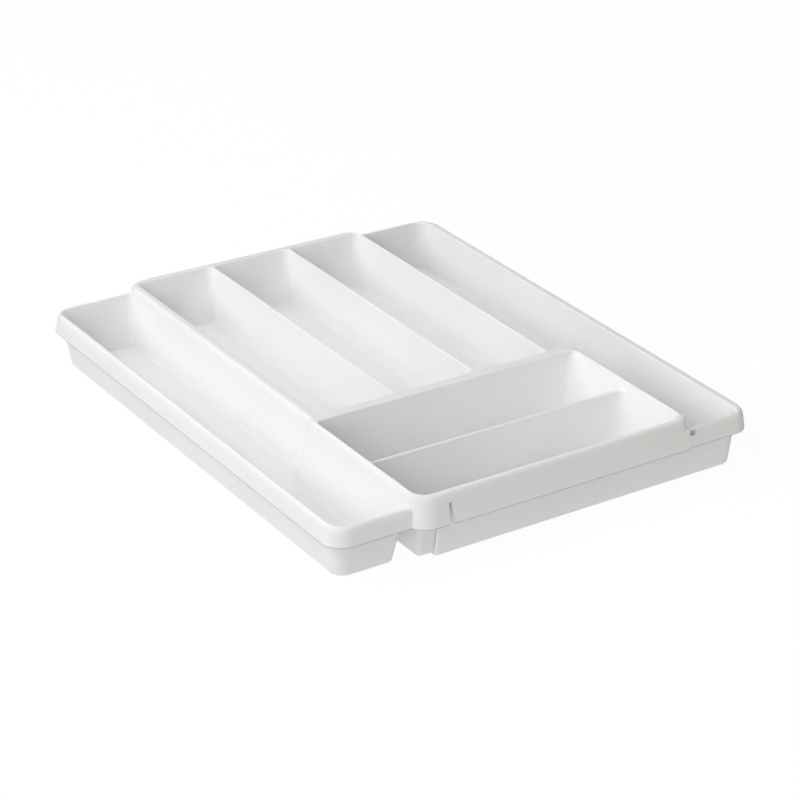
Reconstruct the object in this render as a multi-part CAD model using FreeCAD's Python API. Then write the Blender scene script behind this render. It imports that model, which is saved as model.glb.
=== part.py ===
import FreeCAD, Part
import math
import os

# Cutlery tray that widens: an upper tray with a sliding base tray inside its skirts.
# Millimetres, +Z up. Origin: middle of the closed tray's outline, on the surface it stands on.
# +X is to the right, the way the base tray slides out. -Y is the front.

# Overall sizes, measured at the lower edge of the skirts
closed_width = 350.0
depth = 400.0
wing_end_step = 8.5

# Heights above the table
skirt_bottom = 27.3
wing_rim = 41.0
lane_rim = 45.2
box_rim = 50.3
cross_divider_top = 43.7

# Places along X, from the left edge of the closed tray
box_left = 61.2
lane_left_flank = 68.6
lane_start = 75.7
lane_widths = (64.3, 66.7, 62.8)
lane_divider = 2.6
lane_end_rim = 3.6
box_right = 291.1
box_rim_width = 3.6
base_left = 81.5
base_rim_left = 94.0
wing_floor_left = 12.1
base_floor_right = 340.4

# Lengths along Y, from the front or back edge of the skirts
box_length = 137.7
cross_ridge = 8.8
cross_divider_place = 71.8
cross_divider = 2.6
base_wall_inset = 9.2

# Walls and fits
wall = 1.6
base_wall = 1.9
floor = 1.6
skirt = 1.5
rim_plate = 1.6
slide_gap = 0.3
wall_gap = 0.4
hairline = 0.05
overlap = 6.0

# Slopes of the walls, in degrees from upright
skirt_flare = 7.5
end_draft = 6.5
wing_end_draft = 8.0
wing_left_draft = 9.0
wing_box_draft = 7.5
wing_lane_draft = 4.6
box_side_draft = 7.3
box_cross_draft = 4.0
divider_draft = 1.2
lane_side_draft = 3.0
lane_back_draft = 14.5
base_side_draft = 1.0
base_outer_draft = 5.0

# Radii
wing_corner = 15.0
wing_floor_corner = 8.0
box_corner = 18.0
box_right_corner = 9.0
box_back_corner = 8.0
lane_back_corner = 14.0
pocket_corner = 5.0
box_pocket_corner = 9.0
box_foot_corner = 3.0
hidden_corner = 1.0
base_end_corner = 0.5
skirt_inner_corner = 0.5
least_corner = 0.4
base_corner = 15.0
base_floor_corner = 10.0
wall_end_round = 1.8
rim_round = 2.4
rim_drop = 5.0
mouth_round = 1.0
divider_round = 1.0
floor_fillet = 3.0
lane_fillet = 6.0
back_foot_share = 0.2
foot_round = 1.2
inner_jog_corner = 3.0

# Spring slit in the front skirt, and the guide slots with their lugs
slit_left = 85.2
slit_top = 43.0
slit_top_width = 2.0
slit_foot_width = 5.2
travel = 140.0
slot_right = 297.1
slot_bottom = 35.6
slot_top = 39.4
lug_right = 279.0
lug_length = 8.0
lug_reach = 1.2
lug_gap = 0.4
lip_gap = 0.6
skirt_end = 290.0
lane_skirt_end = 262.0

ROUND_ANGLES = (0.0, 22.5, 45.0, 67.5, 90.0)

left_edge = -closed_width / 2
right_edge = closed_width / 2


def slope(degrees):
    return math.tan(math.radians(degrees))


def from_left(distance):
    return left_edge + distance


def side(place, height, lean, rounded=True, foot_share=1.0):
    """A wall: its place at one height, its lean outward per mm of height, if its mouth is rounded,
    and the share of the foot's rounding that it takes."""
    return {"place": place, "height": height, "lean": lean, "rounded": rounded, "foot_share": foot_share}


def place_at(wall_side, z, outward, floor_growth, mouth_growth):
    growth = wall_side["lean"] * (z - wall_side["height"]) + floor_growth * wall_side["foot_share"]
    if wall_side["rounded"]:
        growth += mouth_growth
    return wall_side["place"] + outward * growth


def outline(corners, z):
    """Closed wire through square corners (x, y, radius), each rounded by its radius."""
    points = [FreeCAD.Vector(x, y, z) for x, y, radius in corners]
    count = len(points)
    edges = []
    exits = []
    entries = []
    for i in range(count):
        radius = corners[i][2]
        before = (points[i - 1] - points[i]).normalize()
        after = (points[(i + 1) % count] - points[i]).normalize()
        entry = points[i] + before * radius
        leave = points[i] + after * radius
        centre = points[i] + (before + after) * radius
        middle = centre - (before + after).normalize() * radius
        edges.append(Part.Arc(entry, middle, leave).toShape())
        entries.append(entry)
        exits.append(leave)
    ring = []
    for i in range(count):
        ring.append(edges[i])
        ring.append(Part.LineSegment(exits[i], entries[(i + 1) % count]).toShape())
    return Part.Wire(ring)


def levels(bottom, top, foot_radius, mouth_radius, mouth_drop, mouth_opens):
    """Heights with the growth of the walls there: a rounded foot below and a rounded mouth or edge above."""
    found = []
    if foot_radius > 0:
        for angle in ROUND_ANGLES[:-1]:
            a = math.radians(angle)
            found.append((bottom + foot_radius * (1 - math.cos(a)), -foot_radius * (1 - math.sin(a)), 0.0))
    found.append((bottom + foot_radius, 0.0, 0.0))
    if mouth_radius > 0:
        sign = 1.0 if mouth_opens else -1.0
        for angle in ROUND_ANGLES:
            a = math.radians(angle)
            height = top - mouth_drop + mouth_drop * math.sin(a)
            found.append((height, 0.0, sign * mouth_radius * (1 - math.cos(a))))
    else:
        found.append((top, 0.0, 0.0))
    return found


def rect_corners(sides, radii, z, floor_growth, mouth_growth):
    left = place_at(sides["left"], z, -1, floor_growth, mouth_growth)
    right = place_at(sides["right"], z, 1, floor_growth, mouth_growth)
    front = place_at(sides["front"], z, -1, floor_growth, mouth_growth)
    back = place_at(sides["back"], z, 1, floor_growth, mouth_growth)
    grow = floor_growth + mouth_growth
    front_left, front_right, back_right, back_left = [max(r + grow, least_corner) for r in radii]
    return [
        (left, front, front_left),
        (right, front, front_right),
        (right, back, back_right),
        (left, back, back_left),
    ]


def jog_corners(sides, radii, z, floor_growth, mouth_growth):
    """Outline of the left compartment: narrow beside the box, wide beside the lanes."""
    left = place_at(sides["left"], z, -1, floor_growth, mouth_growth)
    narrow = place_at(sides["narrow"], z, 1, floor_growth, mouth_growth)
    right = place_at(sides["right"], z, 1, floor_growth, mouth_growth)
    front = place_at(sides["front"], z, -1, floor_growth, mouth_growth)
    jog = place_at(sides["jog"], z, -1, floor_growth, mouth_growth)
    back = place_at(sides["back"], z, 1, floor_growth, mouth_growth)
    grow = floor_growth + mouth_growth
    outer, beside_box, box_edge, inner_jog, back_right = radii
    return [
        (left, front, max(outer + grow, least_corner)),
        (narrow, front, max(beside_box + grow, least_corner)),
        (narrow, jog, max(box_edge - floor_growth, least_corner)),
        (right, jog, max(inner_jog + floor_growth, least_corner)),
        (right, back, max(back_right + grow, least_corner)),
        (left, back, max(outer + grow, least_corner)),
    ]


def form(corner_rule, sides, radii, heights):
    wires = [outline(corner_rule(sides, radii, z, low, high), z) for z, low, high in heights]
    return Part.makeLoft(wires, True, True)


def offset_sides(sides, amount):
    """The same walls moved outward, measured square to X or Y."""
    outward = {"left": -1, "narrow": 1, "right": 1, "front": -1, "jog": -1, "back": 1}
    moved = {}
    for name, wall_side in sides.items():
        moved[name] = dict(wall_side)
        moved[name]["place"] = wall_side["place"] + outward[name] * amount
    return moved


def block_box(x0, x1, y0, y1, z0, z1):
    return Part.makeBox(x1 - x0, y1 - y0, z1 - z0, FreeCAD.Vector(x0, y0, z0))


def hood(sides, radii, top, bottom, open_left=False):
    """Rim plate with its skirt: the outer form and the hollow below it."""
    outer = form(rect_corners, sides, radii, levels(bottom, top, 0.0, rim_round, rim_drop, False))
    inner_radii = [max(r - skirt, skirt_inner_corner) for r in radii]
    inner_sides = offset_sides(sides, -skirt)
    if open_left:
        inner_sides["left"]["place"] -= 2 * overlap
    hollow = form(
        rect_corners, inner_sides, inner_radii,
        levels(bottom - floor, top - rim_plate, 0.0, 0.0, 0.0, False),
    )
    return outer, hollow


# Shared levels and places
centre_bottom = floor + slide_gap
centre_floor = centre_bottom + floor
flare = -slope(skirt_flare)
half_depth = depth / 2
box_back = box_length - half_depth
cross_divider_y = cross_divider_place - half_depth
base_wall_foot = half_depth - base_wall_inset
base_half_depth = half_depth - skirt - slide_gap
wing_half = half_depth - wing_end_step
centre_foot = base_wall_foot - base_wall - wall_gap
lane_end = lane_start + sum(lane_widths) + lane_divider * (len(lane_widths) - 1)
lane_right_flank = lane_end + lane_end_rim
lane_back_top = centre_foot - wall + slope(end_draft) * (lane_rim - centre_bottom)

# Outer walls of the box and of the lanes, which also bound the left compartment
box_left_wall = side(from_left(box_left), box_rim, -slope(wing_box_draft))
box_right_wall = side(from_left(box_right), box_rim, flare)
box_front_wall = side(-half_depth, skirt_bottom, flare)
box_back_wall = side(box_back, box_rim, -slope(box_cross_draft))
lane_left_wall = side(from_left(lane_left_flank), lane_rim, -slope(wing_lane_draft))
lane_right_wall = side(from_left(lane_right_flank), lane_rim, flare)
lane_back_wall = side(half_depth, skirt_bottom, flare)


def wing_pocket_sides():
    beside_box = from_left(box_left) - hairline
    beside_lanes = from_left(lane_left_flank) - hairline
    end_place = wing_floor_end()
    return {
        "left": side(from_left(wing_floor_left), floor, slope(wing_left_draft)),
        "narrow": side(beside_box, box_rim, slope(wing_box_draft), False),
        "right": side(beside_lanes, lane_rim, slope(wing_lane_draft), False),
        "front": side(-end_place, floor, slope(wing_end_draft)),
        "jog": side(box_back + hairline, box_rim, slope(box_cross_draft), False),
        "back": side(end_place, floor, slope(wing_end_draft), True, back_foot_share),
    }


def wing_floor_end():
    """Half length of the left compartment's floor, from the rim's width at the ends."""
    rim_outer = wing_half + flare * (wing_rim - skirt_bottom)
    return rim_outer - rim_round - mouth_round - slope(wing_end_draft) * (wing_rim - floor)


def wing_forms():
    sides = wing_pocket_sides()
    radii = (wing_floor_corner, pocket_corner, box_back_corner + hairline, inner_jog_corner, pocket_corner)
    pocket = form(
        jog_corners, sides, radii,
        levels(floor, wing_rim, floor_fillet, mouth_round, mouth_round, True),
    )
    outer_radii = (
        wing_floor_corner + wall, pocket_corner + wall, box_back_corner - wall,
        inner_jog_corner + wall, pocket_corner + wall,
    )
    shell = form(
        jog_corners, offset_sides(sides, wall), outer_radii,
        levels(0.0, wing_rim - rim_plate / 2, foot_round, 0.0, 0.0, False),
    )
    return pocket, shell


def box_forms():
    ridge_front = box_back - cross_ridge
    end = centre_foot - wall
    left = side(from_left(box_left + box_rim_width), box_rim, slope(box_side_draft))
    right = side(from_left(box_right - box_rim_width), box_rim, slope(box_side_draft))
    front = side(-end, centre_bottom, slope(end_draft))
    back = side(ridge_front, box_rim, slope(box_cross_draft))
    front_radii = [box_pocket_corner, box_pocket_corner, pocket_corner, pocket_corner]
    back_radii = [pocket_corner] * 4
    sides = {"left": left, "right": right, "front": front, "back": back}
    back_shell = pocket_corner + wall
    front_shell = box_pocket_corner + wall
    shell_parts = (
        (box_rim - rim_plate / 2, [front_shell, front_shell, back_shell, back_shell]),
        (skirt_bottom + overlap, [box_foot_corner, box_foot_corner, back_shell, back_shell]),
    )
    shells = []
    for top, radii in shell_parts:
        shells.append(form(
            rect_corners, offset_sides(sides, wall), radii,
            levels(centre_bottom, top, foot_round, 0.0, 0.0, False),
        ))
    mouth = form(
        rect_corners, sides, front_radii,
        levels(cross_divider_top, box_rim, 0.0, mouth_round, mouth_round, True),
    )
    pockets = [mouth]
    half = cross_divider / 2
    divider_faces = (
        ("back", cross_divider_y - half, front_radii),
        ("front", cross_divider_y + half, back_radii),
    )
    for name, place, radii in divider_faces:
        cell = {key: dict(value, rounded=False) for key, value in sides.items()}
        cell[name] = side(place, cross_divider_top, slope(divider_draft))
        pockets.append(form(
            rect_corners, cell, radii,
            levels(centre_floor, cross_divider_top, floor_fillet, divider_round, divider_round, True),
        ))
    return pockets, shells


def lane_forms():
    front = side(box_back + hairline, box_rim, slope(box_cross_draft), False)
    back = side(lane_back_top, lane_rim, slope(lane_back_draft), True, back_foot_share)
    pockets = []
    place = lane_start
    last = len(lane_widths) - 1
    for index, width in enumerate(lane_widths):
        left_draft = lane_side_draft if index == 0 else divider_draft
        right_draft = lane_side_draft if index == last else divider_draft
        sides = {
            "left": side(from_left(place), lane_rim - divider_round, slope(left_draft)),
            "right": side(from_left(place + width), lane_rim - divider_round, slope(right_draft)),
            "front": front,
            "back": back,
        }
        pockets.append(form(
            rect_corners, sides, [pocket_corner] * 4,
            levels(centre_floor, lane_rim, lane_fillet, divider_round, divider_round, True),
        ))
        place += width + lane_divider
    outer = {
        "left": side(from_left(lane_start) - wall, lane_rim, slope(lane_side_draft)),
        "right": side(from_left(lane_end) + wall, lane_rim, slope(lane_side_draft)),
        "front": dict(front, place=front["place"] - wall),
        "back": dict(back, place=lane_back_top + wall),
    }
    shell = form(
        rect_corners, outer, [pocket_corner + wall] * 4,
        levels(centre_bottom, lane_rim - rim_plate / 2, lane_fillet, 0.0, 0.0, False),
    )
    return pockets, shell


def skirt_lug(x_right, front, wall_place):
    """Small block on the inside of a skirt that rides in the base tray's guide slot."""
    z0 = slot_bottom + lug_gap
    z1 = slot_top - lug_gap
    lean_in = flare * (z1 - skirt_bottom)
    outer = wall_place + lean_in - skirt / 2
    inner = wall_place + lean_in - skirt - slide_gap - lug_reach
    low, high = (-outer, -inner) if front else (inner, outer)
    return block_box(x_right - lug_length, x_right, low, high, z0, z1)


def skirt_tail(start, top):
    """Straight end of the front skirt, which goes on past the box's rounded corner."""
    lean_in = -flare * (top - skirt_bottom)
    points = [
        FreeCAD.Vector(start - overlap, -half_depth, skirt_bottom),
        FreeCAD.Vector(start - overlap, -half_depth + skirt, skirt_bottom),
        FreeCAD.Vector(start - overlap, -half_depth + skirt + lean_in, top),
        FreeCAD.Vector(start - overlap, -half_depth + lean_in, top),
    ]
    face = Part.Face(Part.makePolygon(points + [points[0]]))
    return face.extrude(FreeCAD.Vector(from_left(skirt_end) - start + overlap, 0, 0))


def upper_tray():
    wing_hood_sides = {
        "left": side(left_edge, skirt_bottom, flare),
        "right": side(from_left(lane_start) + overlap, skirt_bottom, 0.0),
        "front": side(-wing_half, skirt_bottom, flare),
        "back": side(wing_half, skirt_bottom, flare),
    }
    box_hood_sides = {
        "left": box_left_wall, "right": box_right_wall, "front": box_front_wall, "back": box_back_wall,
    }
    lane_hood_sides = {
        "left": lane_left_wall,
        "right": lane_right_wall,
        "front": side(box_back - overlap, skirt_bottom, 0.0),
        "back": lane_back_wall,
    }
    corner_of_wing = [wing_corner, hidden_corner, hidden_corner, wing_corner]
    corner_of_box = [box_corner, box_right_corner, box_back_corner, box_back_corner]
    corner_of_lanes = [hidden_corner, hidden_corner, lane_back_corner, lane_back_corner]
    wing_outer, wing_hollow = hood(wing_hood_sides, corner_of_wing, wing_rim, skirt_bottom)
    box_outer, box_hollow = hood(box_hood_sides, corner_of_box, box_rim, skirt_bottom)
    lane_outer, lane_hollow = hood(lane_hood_sides, corner_of_lanes, lane_rim, skirt_bottom)
    hoods = wing_outer.fuse([box_outer, lane_outer])
    hoods = hoods.cut([wing_hollow, box_hollow, lane_hollow])

    lip_bottom = wing_rim + lip_gap
    reach = half_depth + overlap
    bend = from_left(box_right) - box_right_corner
    front_gap = block_box(bend, right_edge, -reach, box_back, 0.0, lip_bottom)
    back_gap = block_box(from_left(lane_skirt_end), right_edge, box_back, reach, 0.0, lip_bottom)
    hoods = hoods.cut([front_gap, back_gap]).fuse(skirt_tail(bend, lip_bottom))

    wing_pocket, wing_shell = wing_forms()
    box_pockets, box_shells = box_forms()
    lane_pockets, lane_shell = lane_forms()
    tray = hoods.fuse([wing_shell, lane_shell] + box_shells)
    tray = tray.cut([wing_pocket] + box_pockets + lane_pockets)

    slit_x = from_left(slit_left)
    points = [
        FreeCAD.Vector(slit_x, -reach, skirt_bottom - floor),
        FreeCAD.Vector(slit_x + slit_foot_width, -reach, skirt_bottom - floor),
        FreeCAD.Vector(slit_x + slit_top_width, -reach, slit_top),
        FreeCAD.Vector(slit_x, -reach, slit_top),
    ]
    slit_face = Part.Face(Part.makePolygon(points + [points[0]]))
    slit_depth = overlap + 2 * skirt - flare * (slit_top - skirt_bottom)
    slit = slit_face.extrude(FreeCAD.Vector(0, slit_depth, 0))
    lugs = [
        skirt_lug(from_left(lug_right), True, half_depth),
        skirt_lug(from_left(lane_skirt_end) - lug_length, False, half_depth),
    ]
    return tray.cut(slit).fuse(lugs).removeSplitter()


def base_tray():
    pocket_end = base_wall_foot - base_wall
    foot_sides = {
        "left": side(from_left(base_left), 0.0, 0.0),
        "right": side(from_left(base_floor_right) + base_wall, floor, slope(base_side_draft)),
        "front": side(-base_wall_foot, 0.0, slope(base_outer_draft)),
        "back": side(base_wall_foot, 0.0, slope(base_outer_draft)),
    }
    corner = base_floor_corner + base_wall
    shell = form(
        rect_corners, foot_sides, [wall_end_round, corner, corner, wall_end_round],
        levels(0.0, wing_rim - rim_plate / 2, wall_end_round / 2, 0.0, 0.0, False),
    )
    pocket_sides = {
        "left": side(from_left(base_left) - 2 * overlap, floor, 0.0, False),
        "right": side(from_left(base_floor_right), floor, slope(base_side_draft)),
        "front": side(-pocket_end, floor, slope(end_draft)),
        "back": side(pocket_end, floor, slope(end_draft)),
    }
    pocket = form(
        rect_corners, pocket_sides, [hidden_corner, base_floor_corner, base_floor_corner, hidden_corner],
        levels(floor, wing_rim, wall_end_round, mouth_round, mouth_round, True),
    )
    hood_sides = {
        "left": side(from_left(base_rim_left), skirt_bottom, 0.0, False),
        "right": side(right_edge, skirt_bottom, flare),
        "front": side(-base_half_depth, skirt_bottom, flare),
        "back": side(base_half_depth, skirt_bottom, flare),
    }
    hood_radii = [base_end_corner, base_corner, base_corner, base_end_corner]
    outer, hollow = hood(hood_sides, hood_radii, wing_rim, skirt_bottom, True)
    tray = outer.cut(hollow).fuse(shell).cut(pocket)

    slots = []
    reach = base_half_depth + overlap
    deep = base_half_depth + flare * (slot_top - skirt_bottom) - skirt - slide_gap
    for lug_end, low, high in ((lug_right, -reach, -deep), (lane_skirt_end - lug_length, deep, reach)):
        slot_left = from_left(lug_end - lug_length - travel - lug_gap)
        slots.append(block_box(slot_left, from_left(slot_right), low, high, slot_bottom, slot_top))
    return tray.cut(slots).removeSplitter()


os.makedirs("parts", exist_ok=True)
for name, shape in (("upper_tray", upper_tray()), ("base_tray", base_tray())):
    box = shape.BoundBox
    print(name, shape.isValid(), len(shape.Solids), round(shape.Volume / 1000, 1), "cm3", box)
    shape.exportStep(f"parts/{name}.step")
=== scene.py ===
import math

import bmesh
import bpy
from mathutils import Matrix, Vector

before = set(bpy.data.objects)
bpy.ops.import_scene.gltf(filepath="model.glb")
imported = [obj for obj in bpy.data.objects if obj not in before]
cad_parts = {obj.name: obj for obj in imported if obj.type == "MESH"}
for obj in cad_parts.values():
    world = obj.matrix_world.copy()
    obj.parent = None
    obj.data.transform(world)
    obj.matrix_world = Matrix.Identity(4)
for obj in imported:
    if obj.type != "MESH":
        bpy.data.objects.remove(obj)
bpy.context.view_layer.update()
scene = bpy.context.scene

# Camera of the photograph: place and reach in metres, angles in degrees, lens and sensor in millimetres
CAMERA_PLACE = (-0.97134, -1.34911, 0.85621)
CAMERA_AZIMUTH = -36.06
CAMERA_ELEVATION = 27.06
CAMERA_ROLL = 2.78
CAMERA_LENS = 115.52
CAMERA_SENSOR = 36.0
CAMERA_REACH = 50.0

# Moulded white plastic: gloss, the two colours and the roughness range, grain depth in metres
PLASTIC_IOR = 1.49
PLASTIC_SPECULAR = 0.3
PLASTIC_LIGHT = (0.935, 0.937, 0.938, 1.0)
PLASTIC_DARK = (0.916, 0.919, 0.921, 1.0)
PLASTIC_ROUGHNESS = (0.44, 0.56)
GRAIN_STRENGTH = 0.02
GRAIN_DEPTH = 0.0002

# Noise behind the cloudy colour, the polish and the grain: scale and detail. The colours' places in the noise
CLOUD_NOISE = (14.0, 3.0)
POLISH_NOISE = (60.0, 4.0)
GRAIN_NOISE = (1800.0, 2.0)
CLOUD_PLACES = (0.3, 0.62)

# Painted shade: a thin dark line painted into the colour along the sharp lower edges of the skirts and feet,
# where shade falls under them: its reach from the edge and the heights between which it fades out in metres,
# its colour, and the agreement of the edge's rounded and true surface directions at which it starts and is
# full
PAINTED_SHADE_REACH = 0.0009
PAINTED_SHADE_HEIGHTS = (0.0278, 0.0284)
PAINTED_SHADE_COLOUR = (0.16, 0.16, 0.155, 1.0)
PAINTED_SHADE_AGREEMENT = (0.985, 0.80)
PAINTED_SHADE_SAMPLES = 8

# Shading of the rounded edges: metres, degrees and how strongly large faces hold their direction
WELD_DISTANCE = 0.00001
SMOOTH_ANGLE = 35.0
FLAT_WEIGHT = 100

# CAD node, material name and shift of the noise, so that the two mouldings differ
MOULDINGS = (
    ("upper_tray", "upper_white", 0.0),
    ("base_tray", "base_white", 1.7),
)

# Softboxes round the tray: name, azimuth from +X and elevation in degrees, watts, colour
SOFTBOX_DISTANCE = 2.6
SOFTBOX_SIZE = 1.5
SOFTBOXES = (
    ("left_key", 180.0, 35.0, 25.8, (1.0, 1.0, 0.96)),
    ("camera_side", 225.0, 20.0, 21.8, (1.0, 0.96, 0.97)),
    ("back_right_top", 45.0, 65.0, 18.6, (1.0, 0.985, 0.93)),
    ("back_left", 135.0, 38.0, 20.2, (0.845, 0.895, 1.0)),
    ("front_top", 270.0, 65.0, 10.7, (0.95, 0.98, 1.0)),
    ("low_front_right", 315.0, 8.0, 10.2, (0.97, 1.0, 0.80)),
)

# Light table: what the camera sees of it, and the two discs of light that it sends up: name, diameter in
# metres, watts, colour
TABLE_GLOW = 0.92
TABLE_WHITE = (1.0, 1.0, 1.0, 1.0)
TABLE_COLOUR = (0.10, 0.10, 0.10, 1.0)
TABLE_ROUGHNESS = 0.9
TABLE_RADIUS = 8.0
TABLE_WALL = 6.0
TABLE_SEGMENTS = 96
TABLE_LAMPS = (
    ("table_near", 0.80, 0.95, (0.99, 0.99, 1.0)),
    ("table_far", 1.40, 0.68, (0.85, 1.0, 0.95)),
)
LAMP_DEPTH = 0.004


def camera():
    data = bpy.data.cameras.new("photo_camera")
    data.sensor_width = CAMERA_SENSOR
    data.lens = CAMERA_LENS
    data.clip_end = CAMERA_REACH
    azimuth = math.radians(CAMERA_AZIMUTH)
    elevation = math.radians(CAMERA_ELEVATION)
    roll = math.radians(CAMERA_ROLL)
    back = Vector((
        math.sin(azimuth) * math.cos(elevation),
        -math.cos(azimuth) * math.cos(elevation),
        math.sin(elevation),
    ))
    level = Vector((math.cos(azimuth), math.sin(azimuth), 0.0))
    raised = back.cross(level)
    right = level * math.cos(roll) + raised * math.sin(roll)
    up = raised * math.cos(roll) - level * math.sin(roll)
    turn = Matrix((right, up, back)).transposed().to_4x4()
    thing = bpy.data.objects.new("photo_camera", data)
    thing.matrix_world = Matrix.Translation(CAMERA_PLACE) @ turn
    scene.collection.objects.link(thing)
    scene.camera = thing


def area_light(name, shape, place, towards, size, watts, colour):
    data = bpy.data.lights.new(name, "AREA")
    data.shape = shape
    data.size = size
    data.energy = watts
    data.color = colour
    thing = bpy.data.objects.new(name, data)
    thing.location = place
    thing.rotation_euler = towards.to_track_quat("-Z", "Y").to_euler()
    thing.visible_camera = False
    scene.collection.objects.link(thing)


def stage_piece(name, shape, material):
    """A pale surface that only the camera sees, so that it doesn't light the tray a second time."""
    mesh = bpy.data.meshes.new(name)
    shape.to_mesh(mesh)
    shape.free()
    mesh.materials.append(material)
    thing = bpy.data.objects.new(name, mesh)
    thing.visible_diffuse = False
    thing.visible_glossy = False
    thing.visible_transmission = False
    thing.visible_shadow = False
    scene.collection.objects.link(thing)


def lights():
    world = bpy.data.worlds.new("studio")
    world.use_nodes = True
    world.node_tree.nodes["Background"].inputs["Strength"].default_value = 0.0
    scene.world = world
    scene.view_settings.view_transform = "Standard"
    for name, azimuth, elevation, watts, colour in SOFTBOXES:
        a, e = math.radians(azimuth), math.radians(elevation)
        away = Vector((math.cos(a) * math.cos(e), math.sin(a) * math.cos(e), math.sin(e)))
        area_light(name, "SQUARE", away * SOFTBOX_DISTANCE, -away, SOFTBOX_SIZE, watts, colour)
    up = Vector((0.0, 0.0, 1.0))
    for name, size, watts, colour in TABLE_LAMPS:
        area_light(name, "DISK", -LAMP_DEPTH * up, up, size, watts, colour)


def light_table():
    material = bpy.data.materials.new("light_table")
    material.use_nodes = True
    shader = material.node_tree.nodes["Principled BSDF"]
    shader.inputs["Base Color"].default_value = TABLE_COLOUR
    shader.inputs["Roughness"].default_value = TABLE_ROUGHNESS
    shader.inputs["Specular IOR Level"].default_value = 0.0
    shader.inputs["Emission Color"].default_value = TABLE_WHITE
    shader.inputs["Emission Strength"].default_value = TABLE_GLOW

    disc = bmesh.new()
    bmesh.ops.create_circle(disc, cap_ends=True, segments=TABLE_SEGMENTS, radius=TABLE_RADIUS)
    stage_piece("studio_floor", disc, material)

    ring = bmesh.new()
    bmesh.ops.create_cone(
        ring, cap_ends=False, segments=TABLE_SEGMENTS,
        radius1=TABLE_RADIUS, radius2=TABLE_RADIUS, depth=TABLE_WALL,
        matrix=Matrix.Translation((0.0, 0.0, TABLE_WALL / 2)),
    )
    stage_piece("studio_wall", ring, material)


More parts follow.
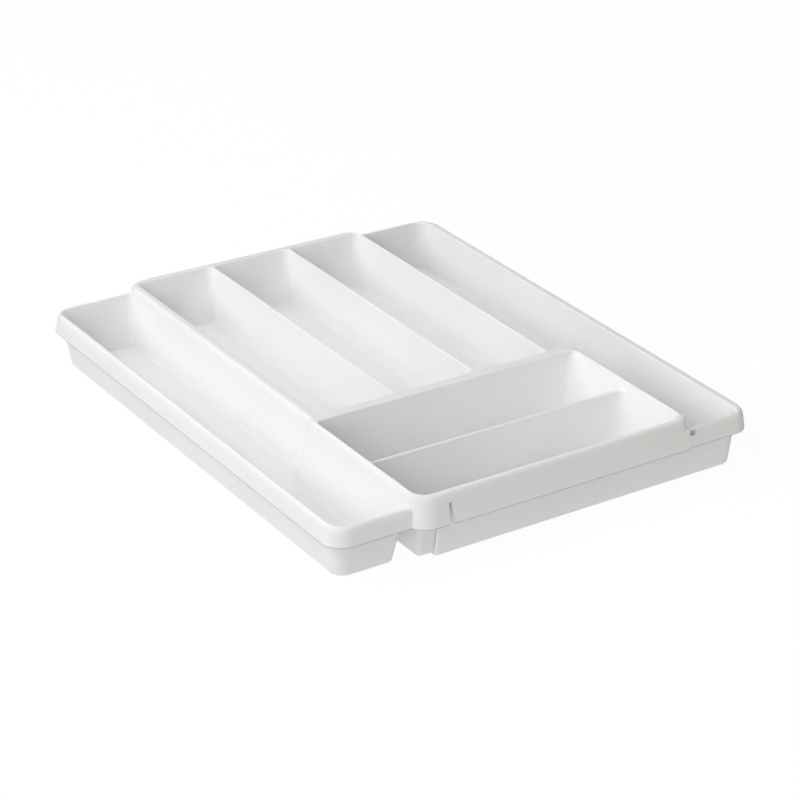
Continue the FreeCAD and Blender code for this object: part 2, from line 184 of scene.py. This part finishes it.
def plastic(name, seed):
    """Satin white plastic: faint clouds, a painted shade line along the sharp lower edges, uneven polish and
    the grain of the mould.
    """
    material = bpy.data.materials.new(name)
    material.use_nodes = True
    nodes = material.node_tree.nodes
    links = material.node_tree.links
    shader = nodes["Principled BSDF"]
    shader.inputs["IOR"].default_value = PLASTIC_IOR
    shader.inputs["Specular IOR Level"].default_value = PLASTIC_SPECULAR
    place = nodes.new("ShaderNodeTexCoord")
    shift = nodes.new("ShaderNodeMapping")
    shift.inputs["Location"].default_value = (seed, 2.0 * seed, 3.0 * seed)
    links.new(place.outputs["Object"], shift.inputs["Vector"])

    def noise(scale_and_detail):
        node = nodes.new("ShaderNodeTexNoise")
        node.inputs["Scale"].default_value = scale_and_detail[0]
        node.inputs["Detail"].default_value = scale_and_detail[1]
        links.new(shift.outputs["Vector"], node.inputs["Vector"])
        return node.outputs["Fac"]

    cloud = nodes.new("ShaderNodeValToRGB")
    stops = zip(cloud.color_ramp.elements, CLOUD_PLACES, (PLASTIC_DARK, PLASTIC_LIGHT))
    for stop, place_in_noise, colour in stops:
        stop.position = place_in_noise
        stop.color = colour
    links.new(noise(CLOUD_NOISE), cloud.inputs["Fac"])

    # Painted shade: the colour is darkened towards the grey line colour along sharp edges low on the tray,
    # standing in for the shade under the skirts and feet
    rounded = nodes.new("ShaderNodeBevel")
    rounded.samples = PAINTED_SHADE_SAMPLES
    rounded.inputs["Radius"].default_value = PAINTED_SHADE_REACH
    surface = nodes.new("ShaderNodeNewGeometry")
    agreement = nodes.new("ShaderNodeVectorMath")
    agreement.operation = "DOT_PRODUCT"
    links.new(rounded.outputs["Normal"], agreement.inputs[0])
    links.new(surface.outputs["Normal"], agreement.inputs[1])
    height = nodes.new("ShaderNodeSeparateXYZ")
    links.new(place.outputs["Object"], height.inputs["Vector"])
    painted_shade_height_fade = nodes.new("ShaderNodeMapRange")
    painted_shade_height_fade.inputs["From Min"].default_value = PAINTED_SHADE_HEIGHTS[1]
    painted_shade_height_fade.inputs["From Max"].default_value = PAINTED_SHADE_HEIGHTS[0]
    links.new(height.outputs["Z"], painted_shade_height_fade.inputs["Value"])
    painted_shade_line = nodes.new("ShaderNodeMapRange")
    painted_shade_line.inputs["From Min"].default_value = PAINTED_SHADE_AGREEMENT[0]
    painted_shade_line.inputs["From Max"].default_value = PAINTED_SHADE_AGREEMENT[1]
    links.new(agreement.outputs["Value"], painted_shade_line.inputs["Value"])
    links.new(painted_shade_height_fade.outputs["Result"], painted_shade_line.inputs["To Max"])
    painted_shade_mix = nodes.new("ShaderNodeMixRGB")
    painted_shade_mix.inputs["Color2"].default_value = PAINTED_SHADE_COLOUR
    links.new(painted_shade_line.outputs["Result"], painted_shade_mix.inputs["Fac"])
    links.new(cloud.outputs["Color"], painted_shade_mix.inputs["Color1"])
    links.new(painted_shade_mix.outputs["Color"], shader.inputs["Base Color"])

    polish = nodes.new("ShaderNodeMapRange")
    polish.inputs["To Min"].default_value = PLASTIC_ROUGHNESS[0]
    polish.inputs["To Max"].default_value = PLASTIC_ROUGHNESS[1]
    links.new(noise(POLISH_NOISE), polish.inputs["Value"])
    links.new(polish.outputs["Result"], shader.inputs["Roughness"])

    grain = nodes.new("ShaderNodeBump")
    grain.inputs["Strength"].default_value = GRAIN_STRENGTH
    grain.inputs["Distance"].default_value = GRAIN_DEPTH
    links.new(noise(GRAIN_NOISE), grain.inputs["Height"])
    links.new(grain.outputs["Normal"], shader.inputs["Normal"])
    return material


def rounded_shading():
    """Node group that joins the facets and shades them smooth, except across edges above SMOOTH_ANGLE."""
    group = bpy.data.node_groups.new("rounded_shading", "GeometryNodeTree")
    group.interface.new_socket("Geometry", in_out="INPUT", socket_type="NodeSocketGeometry")
    group.interface.new_socket("Geometry", in_out="OUTPUT", socket_type="NodeSocketGeometry")
    nodes, links = group.nodes, group.links
    start = nodes.new("NodeGroupInput")
    end = nodes.new("NodeGroupOutput")
    weld = nodes.new("GeometryNodeMergeByDistance")
    weld.inputs["Distance"].default_value = WELD_DISTANCE
    faces = nodes.new("GeometryNodeSetShadeSmooth")
    faces.domain = "FACE"
    edges = nodes.new("GeometryNodeSetShadeSmooth")
    edges.domain = "EDGE"
    edges.inputs["Shade Smooth"].default_value = False
    angle = nodes.new("GeometryNodeInputMeshEdgeAngle")
    sharp = nodes.new("FunctionNodeCompare")
    sharp.operation = "GREATER_THAN"
    sharp.inputs["B"].default_value = math.radians(SMOOTH_ANGLE)
    links.new(angle.outputs["Unsigned Angle"], sharp.inputs["A"])
    links.new(start.outputs["Geometry"], weld.inputs["Geometry"])
    links.new(weld.outputs["Geometry"], faces.inputs["Geometry"])
    links.new(faces.outputs["Geometry"], edges.inputs["Geometry"])
    links.new(sharp.outputs["Result"], edges.inputs["Selection"])
    links.new(edges.outputs["Geometry"], end.inputs["Geometry"])
    return group


camera()
lights()
light_table()
smooth_group = rounded_shading()
for node, material_name, seed in MOULDINGS:
    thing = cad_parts[node]
    thing.data.materials.clear()
    thing.data.materials.append(plastic(material_name, seed))
    thing.modifiers.new("rounded_shading", "NODES").node_group = smooth_group
    weighted = thing.modifiers.new("flat_faces_stay_flat", "WEIGHTED_NORMAL")
    weighted.keep_sharp = True
    weighted.weight = FLAT_WEIGHT
